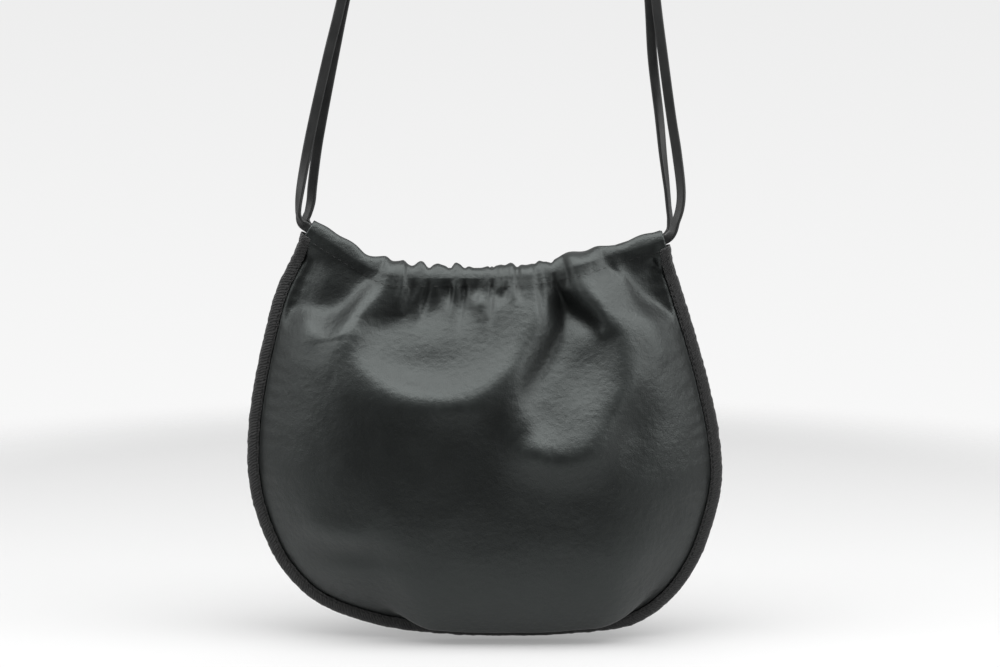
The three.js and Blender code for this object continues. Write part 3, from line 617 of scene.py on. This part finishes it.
front_side = {
    "facing": -1,
    "depth": 37.5,
    "shoulder": (62, 28, 48, 24),  # its height, how much more over the right lobe, and its place there
    "mouth_low": 191.8,
    "climb": (0.63, 0.283),
    "folds": [
        # line, share of its lift, half width, reach to its left and right hand
        (MIDDLE_SWAG, 0.7, 0, 7, 8),
        (MIDDLE_SWAG, 0.2, 0, 30, 11),
        (RIGHT_LOBE, 0.85, 0, 11, 9),
        (RIGHT_LOBE, 0.25, 0, 30, 12),
        (LEFT_TRIANGLE, 1, 0, 14, 5),
        (LEFT_PLEAT, 1, 1, 6, 4),
        (LEFT_HOLLOW, 0.9, 0, 16, 6),
        (RIGHT_VALLEY, 1, 0, 5, 6),
        (RIGHT_PLEAT, 1, 0, 11, 4.5),
        (RIGHT_PLEAT_EDGE, 1, 0, 2.5, 6),
        (RIGHT_TRIANGLE, 1, 0, 14, 6),
        (RIGHT_HOLLOW, 1, 0, 5, 6),
        ([(-37, 178, -1), (-27, 178.5, -4), (-19, 183, -4), (-10.5, 180, -4), (-3, 184, 0)], 1, 0, 5, 14),
        ([(-29, 205, 2), (-28.5, 195, 2), (-28, 186, 0)], 1, 0, 3, 3),
        ([(-21.6, 205, -2), (-21.6, 195, -3), (-23, 182, 0)], 1, 0, 2.5, 2.5),
        ([(-16, 205, 2), (-16, 195, 2), (-16.5, 184, 0)], 1, 0, 3, 3),
        ([(-11.3, 205, -2), (-11.3, 194, -3), (-10, 178, 0)], 1, 0, 2.5, 3),
        ([(1, 201, -1.2), (8.2, 186.3, -1.8), (15.6, 199, -1.2)], 1, 0, 2.5, 2),
        ([(44, 206, -2), (44.5, 197, -3), (46, 190, 0)], 1, 0, 2, 2),
        ([(57, 213, -2), (61, 209.5, -2.5), (67, 204, -2.5), (72, 199, -1.5), (76, 195, 0)], 1, 0, 2, 2),
        ([(-98, 182, 0), (-97, 174, 2), (-95, 165, 1.5), (-94, 156, 0)], 1, 0, 5, 5),
        ([(82, 183, 0), (90, 172, 2.5), (97, 157, 1.5), (99, 148, 0)], 1, 0, 7, 7),
        ([(-104, 70, 0), (-90.7, 62.8, 2), (-72, 58, 1.5), (-60, 52, 0)], 1, 0, 7, 6),
    ],
    "dents": [
        # middle x and z, reach across and up, depth
        (-42, 147, 23, 15, 4),
        (49, 151, 20, 18, 4),
        (78, 116, 14, 18, 3),
        (-70, 47, 20, 7.5, 3),
    ],
    "gathers": [
        # x, width, puff
        (-92, 5, 0.9),
        (-79, 6, 1.2),
        (-70, 4, -0.8),
        (-59, 6, 3.4),
        (-48, 5, 2.2),
        (-36, 4, 2),
        (-26, 4, 1.2),
        (-15, 4, 1),
        (2, 6, 0.8),
        (18, 5, 0.9),
        (31, 4, 1.8),
        (49, 7, 2.6),
        (64, 5, 1.6),
        (77, 5, -0.7),
        (89, 6, 1),
    ],
    "creases": fine_creases(11, 18, -44, 38),
    "belly": (-62, 105, 11, 5),  # where it starts and ends to hang over the seam, how far down and out
}
back_side = {
    "facing": 1,
    "depth": 27,
    "shoulder": (74, 0, 0, 24),
    "mouth_low": 188.5,
    "climb": (0.7, 0.33),
    "folds": [
        ([(-84, 160, 0), (-66, 134, 4), (-34, 120, 6), (-4, 132, 4), (10, 156, 0)], 1, 0, 26, 7),
        ([(0, 150, 0), (16, 122, 4), (40, 110, 6), (66, 124, 4), (82, 156, 0)], 1, 0, 26, 7),
        ([(-58, 206, 3), (-64, 186, 5), (-74, 160, 0)], 1, 0, 6, 6),
        ([(-44, 202, -2), (-49, 180, -5), (-56, 150, 0)], 1, 0, 4, 4),
        ([(-30, 200, 3), (-32, 178, 4), (-34, 150, 0)], 1, 0, 6, 6),
        ([(-14, 200, -2), (-14, 180, -4), (-15, 155, 0)], 1, 0, 4, 4),
        ([(2, 200, 3), (2, 178, 4), (3, 148, 0)], 1, 0, 7, 7),
        ([(19, 200, -2), (20, 180, -4), (22, 155, 0)], 1, 0, 4, 4),
        ([(34, 202, 3), (37, 180, 4), (41, 150, 0)], 1, 0, 6, 6),
        ([(48, 204, -2), (53, 182, -5), (61, 156, 0)], 1, 0, 4, 4),
        ([(60, 208, 3), (66, 188, 5), (76, 162, 0)], 1, 0, 6, 6),
    ],
    "dents": [(-86, 193, 14, 11, 5), (87, 193, 14, 11, 5)],
    "gathers": [(x, 5, 1.6) for x in (-58, -44, -30, -14, 2, 19, 34, 48, 60)],
    "creases": fine_creases(23, 30, -66, 70),
    "belly": (-80, 85, 3, 1),
}

LEATHER_DYE = (0.0055, 0.006, 0.0059, 1), (0.009, 0.0098, 0.0096, 1)  # darkest and lightest
LEATHER_WORN_AND_HIGHLIT = (0.03, 0.034, 0.033, 1)  # lighter where the crests of the folds are worn and carry a painted highlight
LEATHER_GLOSS = (0.92, 1, 0.98, 1)
FLESH_DYE = (0.018, 0.018, 0.018, 1), (0.036, 0.036, 0.035, 1)


def speckle(wire, place, scale, detail, roughness=0.5):
    """Noise of so many bumps a metre."""
    inputs = {"Vector": place, "Scale": scale, "Detail": detail, "Roughness": roughness}
    return wire.node("ShaderNodeTexNoise", None, inputs)


def cells(wire, place, feature, scale):
    """Cells of so many a metre."""
    return wire.node("ShaderNodeTexVoronoi", {"feature": feature}, {"Vector": place, "Scale": scale})


def mixed(wire, share, low, high):
    """A colour between two others."""
    return wire.node("ShaderNodeMix", {"data_type": "RGBA"}, {0: share, 6: low, 7: high}, 2)


def embossed(wire, height, strength, distance):
    """The normal of a surface with a fine relief."""
    return wire.node("ShaderNodeBump", None, {"Strength": strength, "Distance": distance, "Height": height})


panel_leather, wire, place = new_finish("panel leather")
pores = cells(wire, place, "DISTANCE_TO_EDGE", 850.0)
pebble = cells(wire, place, "SMOOTH_F1", 420.0)
fine = speckle(wire, place, 2600.0, 3.0)
mottle = speckle(wire, place, 260.0, 4.0)
cloud = speckle(wire, place, 24.0, 5.0)
scuff = speckle(wire, place, 130.0, 6.0, 0.7)
crest = wire.node("ShaderNodeAttribute", {"attribute_name": "crest"}, None, "Fac")
# The crests of the folds are painted lighter: partly rubbed wear, partly a painted highlight.
worn_and_highlit = stretch(wire, crest, 0.1, 1.4)
grain = pores * 0.3 + pebble * -0.2 + fine * 0.15 + mottle
bump = embossed(wire, grain, 0.6, 0.5 * MM)
colour = mixed(wire, stretch(wire, cloud, 0.3, 0.7), *LEATHER_DYE)
colour = mixed(wire, worn_and_highlit * scuff * 0.7, colour, LEATHER_WORN_AND_HIGHLIT)
shine = cloud * 0.1 + scuff * 0.1 + 0.3
leather = {"Base Color": colour, "Roughness": shine, "Normal": bump, "Specular Tint": LEATHER_GLOSS}
cover(wire, "ShaderNodeBsdfPrincipled", leather)

flesh_side, wire, place = new_finish("flesh side")
nap = speckle(wire, place, 1800.0, 4.0)
cloud = speckle(wire, place, 60.0, 4.0)
bump = embossed(wire, nap, 0.5, 0.2 * MM)
colour = mixed(wire, cloud * 0.6 + nap * 0.4, *FLESH_DYE)
cover(wire, "ShaderNodeBsdfPrincipled", {"Base Color": colour, "Roughness": 0.9, "Normal": bump})

front_leather, front_sewing = make_panel("front_leather", front_side)
back_leather, back_sewing = make_panel("back_leather", back_side)
for panel, node in ((front_leather, "front_panel"), (back_leather, "back_panel")):
    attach(panel, "root")
    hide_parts(node)


# Tunnel sewing: one row of dark waxed thread on each panel, which holds the turned mouth edge down under
# the lace. The machine's stitches lie in the small furrow that they pull into the gathers.
STITCH_PITCH = 4.0
STITCH_LENGTH = 2.9
STITCH_WIDTH = 0.55
STITCH_SUNK = 0.15
STITCH_MARGIN = 4.0  # from the ends of the line to its first and last stitch
STITCH_LEAN = 0.25  # how far the stitches face up for each millimetre outwards
THREAD_DYE = (0.004, 0.004, 0.004, 1), (0.014, 0.0145, 0.0145, 1)


def sew(name, middles, alongs, outs, length):
    """A row of stitches as one piece: one stitch, copied to each place along the row."""
    bpy.ops.object.select_all(action="DESELECT")
    bpy.ops.mesh.primitive_uv_sphere_add(segments=8, ring_count=6, radius=0.5)
    stitch = bpy.context.object
    bpy.ops.object.mode_set(mode="EDIT")
    bpy.ops.transform.rotate(value=math.pi / 2, orient_axis="Y", center_override=(0, 0, 0))
    bpy.ops.transform.resize(value=(length, STITCH_WIDTH, STITCH_WIDTH))
    bpy.ops.object.mode_set(mode="OBJECT")
    shape = np.array([point.co for point in stitch.data.vertices])
    faces = [list(face.vertices) for face in stitch.data.polygons]
    bpy.data.objects.remove(stitch)
    sides = unit(np.cross(outs, alongs))
    copies = middles[:, None]
    for axis, turned in enumerate((alongs, sides, outs)):
        copies = copies + shape[:, axis, None] * turned[:, None]
    count = copies[..., 0].size
    starts = range(0, count, len(shape))
    all_faces = [[corner + start for corner in face] for start in starts for face in faces]
    row = bpy.data.objects.new(name, bpy.data.meshes.new(name))
    bpy.context.collection.objects.link(row)
    row.data.from_pydata(np.zeros((count, 3)).tolist(), [], all_faces)
    move_points(row, copies[..., 0], copies[..., 1], copies[..., 2])
    row.data.polygons.foreach_set("use_smooth", [True] * len(all_faces))
    row.data.materials.append(thread)
    return row


thread, wire, place = new_finish("waxed thread")
fibre = speckle(wire, place, 3500.0, 3.0)
bump = embossed(wire, fibre, 0.5, 0.1 * MM)
colour = mixed(wire, fibre, *THREAD_DYE)
waxed = {"Base Color": colour, "Roughness": 0.5, "Normal": bump, "Specular IOR Level": 0.33}
cover(wire, "ShaderNodeBsdfPrincipled", waxed)

for name, line, facing in (("front_sewing", front_sewing, -1), ("back_sewing", back_sewing, 1)):
    lengths = lengths_along(line)
    along = np.arange(STITCH_MARGIN, lengths[-1] - STITCH_MARGIN, STITCH_PITCH)
    middles = np.stack([np.interp(along, lengths, column) for column in line.T], -1)
    ahead = np.stack([np.interp(along + 1, lengths, column) for column in line.T], -1)
    alongs = unit(ahead - middles)
    outs = unit(np.cross(alongs, np.cross(np.array([0.0, facing, STITCH_LEAN]), alongs)))
    row = sew(name, middles - STITCH_SUNK * outs, alongs, outs, STITCH_LENGTH)
    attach(row, "root")


# Edge binding: a dark woven tape folded over the raw edges of both panels and sewn through, from one
# corner of the mouth down, along the bottom and up to the other, where it opens round the parting panels.
TAPE_WIDTH = 6.5
TAPE_WALL = 0.7
TAPE_HALF = SEAM_HALF_GAP + LEATHER + CLEARANCE / 2 + TAPE_WALL
TAPE_SECTION = [
    # inset from the outline, share of the half thickness; from the edge on the front to the outline
    (TAPE_WIDTH, 0.97),
    (5.8, 1.0),
    (4.6, 0.99),
    (3.2, 1.0),
    (2.0, 0.98),
    (1.1, 0.87),
    (0.45, 0.65),
    (0.1, 0.35),
    (0.0, 0.0),
]
TAPE_STEPS = 700
TAPE_START = -2.0  # where along the seam its outer edge starts: less than 0 is over the mouth's corners
TAPE_SLANT = 0.25  # how far its cut ends run down for each millimetre inwards
TAPE_EASE = 2.6  # how far under the parting panels it is closed again
TAPE_FLARE = (MOUTH_PARTING - TAPE_START + TAPE_EASE, 5.4)  # length and height of its opening there
TAPE_ROUGH = [(0.3, 6, 3), (0.35, 2.4, 4)]  # height, reach and seed of the unevenness of its edges
TAPE_UNEVEN = (0.12, 5, 6)  # and of its faces

inset = np.array([row[0] for row in TAPE_SECTION] + [row[0] for row in TAPE_SECTION[-2::-1]])
share = np.array([row[1] for row in TAPE_SECTION] + [-row[1] for row in TAPE_SECTION[-2::-1]])
tape, column, row = grid_piece("edge_tape", TAPE_STEPS, len(inset) - 1)
tape_end = TAPE_START + TAPE_SLANT * inset[row]
along = blend(tape_end, seam_length - tape_end, column / TAPE_STEPS)
rough = sum(height * waves(along, 0, reach, seed) for height, reach, seed in TAPE_ROUGH)
tape_plan = seam_point(along, inset[row] + rough)
from_end = np.minimum(along, seam_length - along) - TAPE_START
flare = TAPE_FLARE[1] * (1 - smoothstep(from_end, 0, TAPE_FLARE[0]))
height, reach, seed = TAPE_UNEVEN
tape_depth = share[row] * (TAPE_HALF + flare + height * waves(along, row, reach, seed))
move_points(tape, tape_plan[..., 0], tape_depth, tape_plan[..., 1])
apply_modifier(tape, "SOLIDIFY", thickness=TAPE_WALL * MM, offset=-1)
bpy.ops.object.shade_smooth()

TWILL_PITCH, TWILL_SLANT, TWILL_DRIFT = 1.7, 0.8, 2.2  # of its ribs, which run aslant and wander
YARN_PITCH, YARN_SLANT = 0.9, 2.2  # of the finer yarns that cross them
TAPE_DYE = (0.002, 0.002, 0.002, 1), (0.026, 0.0265, 0.0265, 1)
TAPE_LINT = (0.07, 0.07, 0.068, 1)

binding_tape, wire, place = new_finish("binding tape")
cloth = wire.node("ShaderNodeUVMap")
run = wire.node("ShaderNodeSeparateXYZ", None, {0: cloth}, 0) * seam_length
across = wire.node("ShaderNodeSeparateXYZ", None, {0: cloth}, 1) * 2 * (TAPE_WIDTH + TAPE_HALF)
drift = speckle(wire, place, 300.0, 2.0)
fuzz = speckle(wire, place, 1500.0, 4.0)
lint = speckle(wire, place, 420.0, 6.0, 0.75)
ribs = (run + across * TWILL_SLANT + drift * TWILL_DRIFT) * (2 * math.pi / TWILL_PITCH)
yarns = (run - across * YARN_SLANT) * (2 * math.pi / YARN_PITCH)
twill, yarn = (wire.math("SINE", turn) * 0.5 + 0.5 for turn in (ribs, yarns))
weave = twill * 0.7 + yarn * 0.3
bump = embossed(wire, weave + fuzz * 0.8, 0.9, 0.5 * MM)
colour = mixed(wire, weave * 0.6 + fuzz * 0.4, *TAPE_DYE)
colour = mixed(wire, stretch(wire, lint, 0.5, 0.8) * 0.5, colour, TAPE_LINT)
woven = {"Base Color": colour, "Roughness": 0.85, "Normal": bump}
cover(wire, "ShaderNodeBsdfPrincipled", {**woven, "Sheen Weight": 0.15, "Sheen Roughness": 0.5})
tape.data.materials.append(binding_tape)
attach(tape, "root")
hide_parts("edge_binding")

TAPE_STITCH_INSET = 5.1
TAPE_STITCH_PITCH = 3.3
TAPE_STITCH_LENGTH = 2.3
TAPE_STITCH_RAISE = 0.05  # how far the middle of the thread lies over the tape
along = np.arange(TAPE_START + TAPE_FLARE[0], seam_length - TAPE_START - TAPE_FLARE[0], TAPE_STITCH_PITCH)
for name, facing in (("front_edge_sewing", -1), ("back_edge_sewing", 1)):
    middle, ahead = (seam_point(along + step, TAPE_STITCH_INSET) for step in (0, 0.5))
    flat = facing * (TAPE_HALF + TAPE_STITCH_RAISE) * np.ones_like(along)
    middles = np.stack([middle[:, 0], flat, middle[:, 1]], -1)
    alongs = unit(np.stack([ahead[:, 0], flat, ahead[:, 1]], -1) - middles)
    outs = np.tile([0.0, facing, 0.0], (len(along), 1))
    row = sew(name, middles, alongs, outs, TAPE_STITCH_LENGTH)
    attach(row, "root")


# Laces: two flat laces of folded leather, one in each tunnel. Both leave the mouth at its corners and run
# up side by side as the doubled strap, each a loop whose ends are joined inside its tunnel.
LACE_WIDTH = 5.4
LACE_THICKNESS = 2.3
LACE_CORNERS = (0.45, 0.6)  # powers that round its section, across and through it: less is squarer
LACE_GROOVE = (0.14, 0.55)  # depth of the groove along its fold, as a share, and how wide it is
LACE_BACK = (0.5, 0.0)  # how far behind the tunnel's middle it lies, in the middle and at the corners
LACE_TURN = 6.0  # how far inside the tunnel's ends the laces start to turn up
LACE_DYE = (0.009, 0.0095, 0.0095, 1), (0.022, 0.0225, 0.0225, 1)
HANG_X, HANG_Z, HANG_RADIUS = 33, 776, 16  # the strap's top bend: its underside and inner radius
RISES = {
    # x, z, depth and twist in degrees from flat to the front
    "front left": [
        (-97.4, 224.2, -3.4, 0),
        (-100.3, 226.6, -3.8, 40),
        (-101.6, 230.6, -4.2, 70),
        (-101.6, 236, -4.2, 60),
        (-100.6, 244, -4, 40),
        (-96.6, 266, -3, 10),
        (-93, 283, -2.6, 4),
        (-85.3, 316, -2.1, 0),
        (-77, 349, -1.8, 0),
    ],
    "front right": [
        (99.3, 217.8, -3.4, 0),
        (102.3, 221.2, -3.8, -35),
        (104.2, 227, -4.2, -50),
        (106.2, 233.5, -4.2, -45),
        (107, 242, -4, -40),
        (104.6, 264, -3, -20),
        (101.5, 283, -2.6, -10),
        (96.8, 316, -2.1, 0),
        (92.4, 349, -1.8, 0),
    ],
    "back left": [
        (-97, 223.8, 3.4, 0),
        (-98.4, 227.4, 3.8, 45),
        (-96.8, 232, 4.2, 45),
        (-95.4, 238, 4.2, 25),
        (-94.6, 246, 4, 15),
        (-91.9, 266, 3.4, 10),
        (-88.8, 283, 2.8, 8),
        (-82.2, 316, 2.1, 0),
        (-75.4, 349, 1.8, 0),
    ],
    "back right": [
        (99.2, 217.8, 3.4, 0),
        (101.6, 221.8, 3.8, 45),
        (101.6, 228, 4.4, 65),
        (100.8, 235, 4.8, 68),
        (99.9, 244, 4.8, 65),
        (97.4, 264, 4.4, 45),
        (95.4, 283, 3.8, 30),
        (91.3, 316, 2.6, 10),
        (89.1, 349, 1.8, 0),
    ],
}
STRAP_TWISTS = [(0.4, 0), (0.75, 60)]  # share of the way from there to the bend, and twist
BEND_TURNS = (5, 35, 65, 90, 115, 145, 172)  # degrees round the bend, where the twist is 90
TUNNEL_POINTS = 13
RINGS_PER_SPAN = 26
SECTION_POINTS = 24


def lace_route(side, name):
    """The lace's middle line: points with their twist, through the tunnel and round the loop."""
    sewn_x = np.linspace(mouth_left + LACE_TURN, mouth_right - LACE_TURN, TUNNEL_POINTS)
    tunnel_x, tunnel_z = over_stitches(side, sewn_x, TUNNEL_RISE)
    lean = to_corner(MOUTH_LEAN, sewn_x)
    tunnel_depth = to_corner(MOUTH_DEPTH, sewn_x) - lean * TUNNEL_RISE - to_corner(LACE_BACK, sewn_x)
    tunnel_twist = side["facing"] * np.degrees(np.arctan(lean))
    tunnel = list(zip(tunnel_x, side["facing"] * tunnel_depth, tunnel_z, tunnel_twist))
    top = HANG_Z - HANG_RADIUS
    bend = HANG_RADIUS + LACE_THICKNESS / 2
    beside = side["facing"] * (LACE_WIDTH / 2 + 2 * CLEARANCE)
    rises = []
    for end, bend_x in (("right", HANG_X + bend), ("left", HANG_X - bend)):
        rise = [(x, y, z, twist) for x, z, y, twist in RISES[f"{name} {end}"]]
        last_x, _, last_z, _ = rise[-1]
        for share, twist in STRAP_TWISTS:
            rise.append((blend(last_x, bend_x, share), beside, blend(last_z, top, share), twist))
        rises.append(rise)
    turns = np.radians(BEND_TURNS)
    over = [(HANG_X + bend * math.cos(turn), beside, top + bend * math.sin(turn), 90) for turn in turns]
    right, left = rises
    return np.array(tunnel + right + over + left[::-1])


def make_lace(name, side, side_name):
    """A lace: rings of its flat section, turned along its route and closed into a loop."""
    route = lace_route(side, side_name)
    middle = smooth_line(route[:, :3], RINGS_PER_SPAN, looped=True)
    rings = len(middle)
    ahead = unit(np.roll(middle, -1, axis=0) - np.roll(middle, 1, axis=0))
    twists = np.append(route[:, 3], route[0, 3])
    at_ring = np.arange(rings) / RINGS_PER_SPAN
    twist = np.radians(np.interp(at_ring, np.arange(len(twists)), twists))[:, None]
    wide = unit(np.cross([0.0, 1.0, 0.0], ahead))
    wide = wide * np.cos(twist) + np.cross(ahead, wide) * np.sin(twist)
    thick = np.cross(ahead, wide)
    lace, column, row = grid_piece(name, rings, SECTION_POINTS)
    angle = 2 * math.pi * (np.arange(SECTION_POINTS + 1) % SECTION_POINTS) / SECTION_POINTS
    out = fuller(np.cos(angle), LACE_CORNERS[0]) * LACE_WIDTH / 2
    over = fuller(np.sin(angle), LACE_CORNERS[1]) * LACE_THICKNESS / 2
    over = over * (1 - LACE_GROOVE[0] * np.exp(-((out / LACE_GROOVE[1]) ** 2)))
    ring = column % rings
    points = middle[ring] + wide[ring] * out[row][..., None] + thick[ring] * over[row][..., None]
    move_points(lace, points[..., 0], points[..., 1], points[..., 2])
    bpy.ops.object.mode_set(mode="EDIT")
    bpy.ops.mesh.select_all(action="SELECT")
    bpy.ops.mesh.remove_doubles(threshold=0.001 * MM)
    bpy.ops.mesh.normals_make_consistent(inside=False)
    bpy.ops.object.mode_set(mode="OBJECT")
    bpy.ops.object.shade_smooth()
    lace.data.materials.append(lace_leather)
    return lace


lace_leather, wire, place = new_finish("lace leather")
pores = cells(wire, place, "DISTANCE_TO_EDGE", 1100.0)
fine = speckle(wire, place, 2600.0, 3.0)
cloud = speckle(wire, place, 90.0, 5.0)
bump = embossed(wire, pores * 0.8 + fine * 0.4, 0.35, 0.2 * MM)
colour = mixed(wire, cloud, *LACE_DYE)
shine = cloud * 0.16 + 0.36
cover(wire, "ShaderNodeBsdfPrincipled", {"Base Color": colour, "Roughness": shine, "Normal": bump})

for name, side, side_name in (("front_strap", front_side, "front"), ("back_strap", back_side, "back")):
    lace = make_lace(name, side, side_name)
    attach(lace, "root")
    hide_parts(f"{side_name}_lace")
